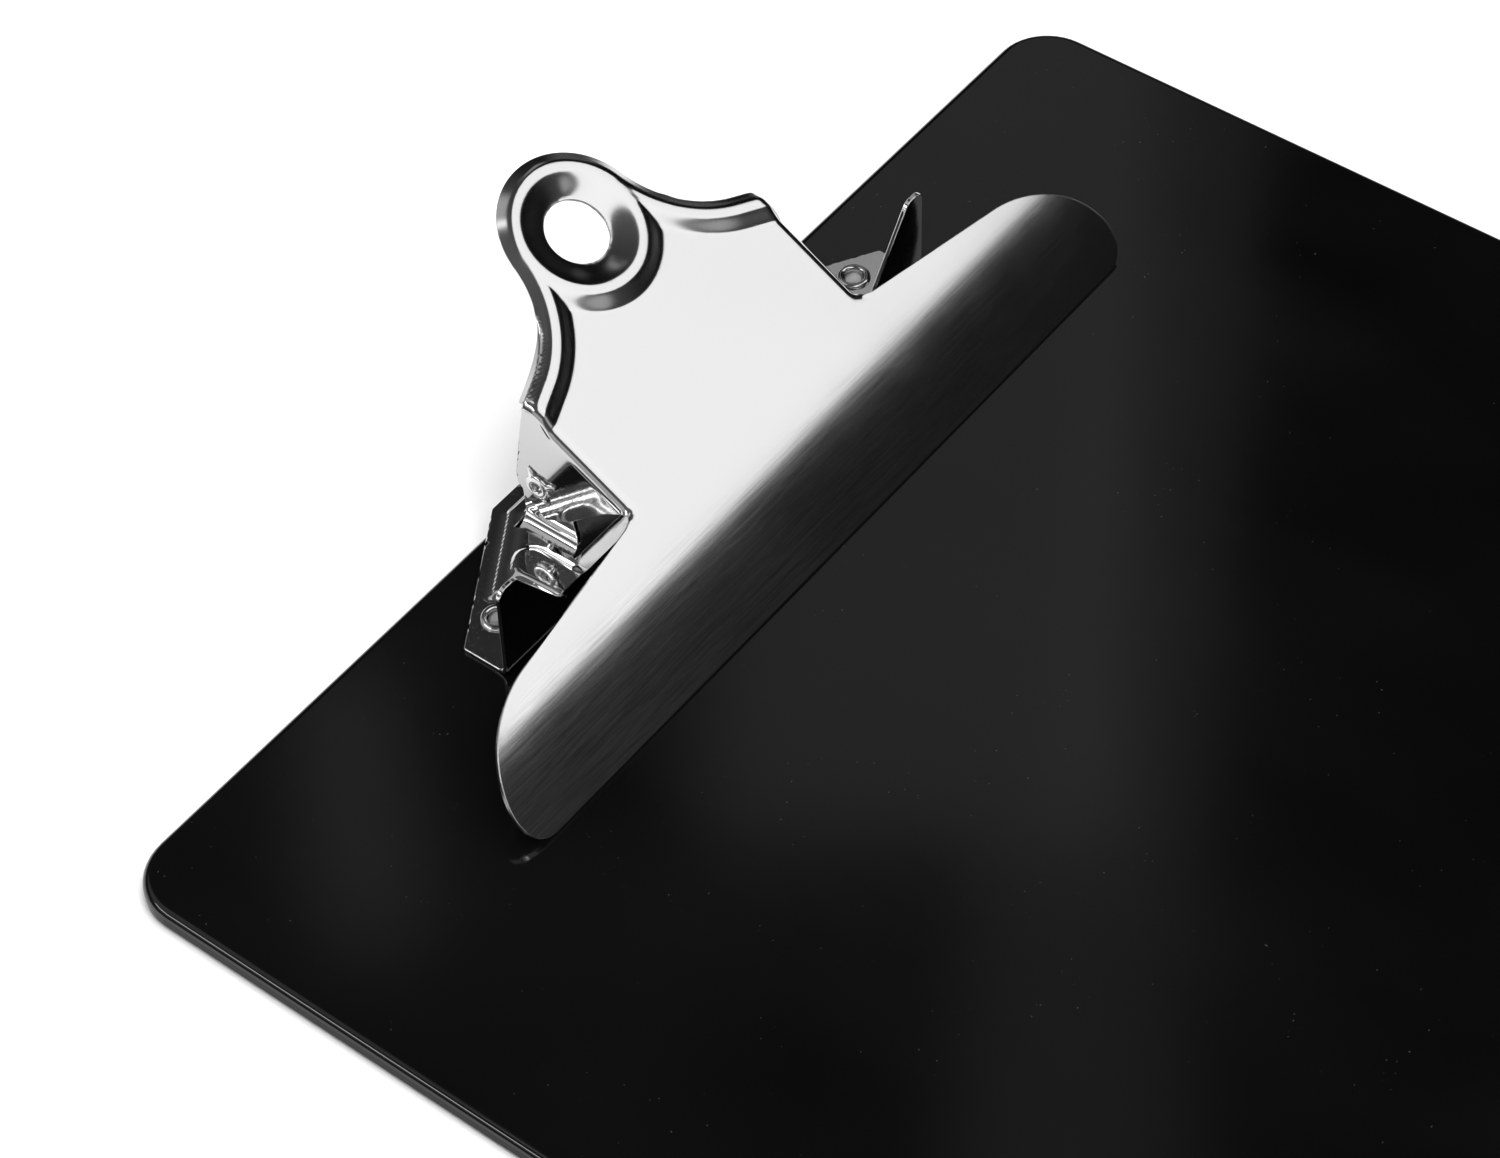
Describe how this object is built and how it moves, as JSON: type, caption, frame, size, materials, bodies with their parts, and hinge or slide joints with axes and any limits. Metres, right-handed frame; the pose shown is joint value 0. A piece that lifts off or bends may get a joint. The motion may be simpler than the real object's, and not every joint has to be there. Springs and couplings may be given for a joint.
{
  "type": "clipboard",
  "caption": "Flat letter-size writing board with rounded corners and a sprung steel clip: a hinged lever with a wide jaw and a hang ring on a riveted base plate.",
  "frame": {"origin": "centre of the board's flat back face", "axes": "+X to the right across the board, +Y along the board towards the clip, +Z out of the writing face"},
  "size_m": [0.2286, 0.3348, 0.0453],
  "materials": {
    "board_plastic": "polished moulding with fine dust",
    "lever_steel": "nickel plated, fine brushing across the width",
    "base_chrome": "bright plated stamping",
    "pin_steel": "bright plated",
    "spring_steel": "drawn wire, lightly oiled",
    "eyelet_nickel": "nickel plated"
  },
  "bodies": {
    "board_body": {"board": "board_plastic", "base_plate": "base_chrome", "pivot_pin": "pin_steel", "torsion_spring": "spring_steel", "eyelets": "eyelet_nickel"},
    "lever_body": {"clip_lever": "lever_steel"}
  },
  "joints": [
    {"name": "lever_hinge", "type": "hinge", "parent": "board_body", "child": "lever_body", "pos_m": [0, 0.15025, 0.0159], "axis": [-1, 0, 0], "range_deg": [0, 30], "stiffness_Nm_per_rad": 0.6, "springref_deg": -51.57, "deforming": ["torsion_spring"]}
  ]
}
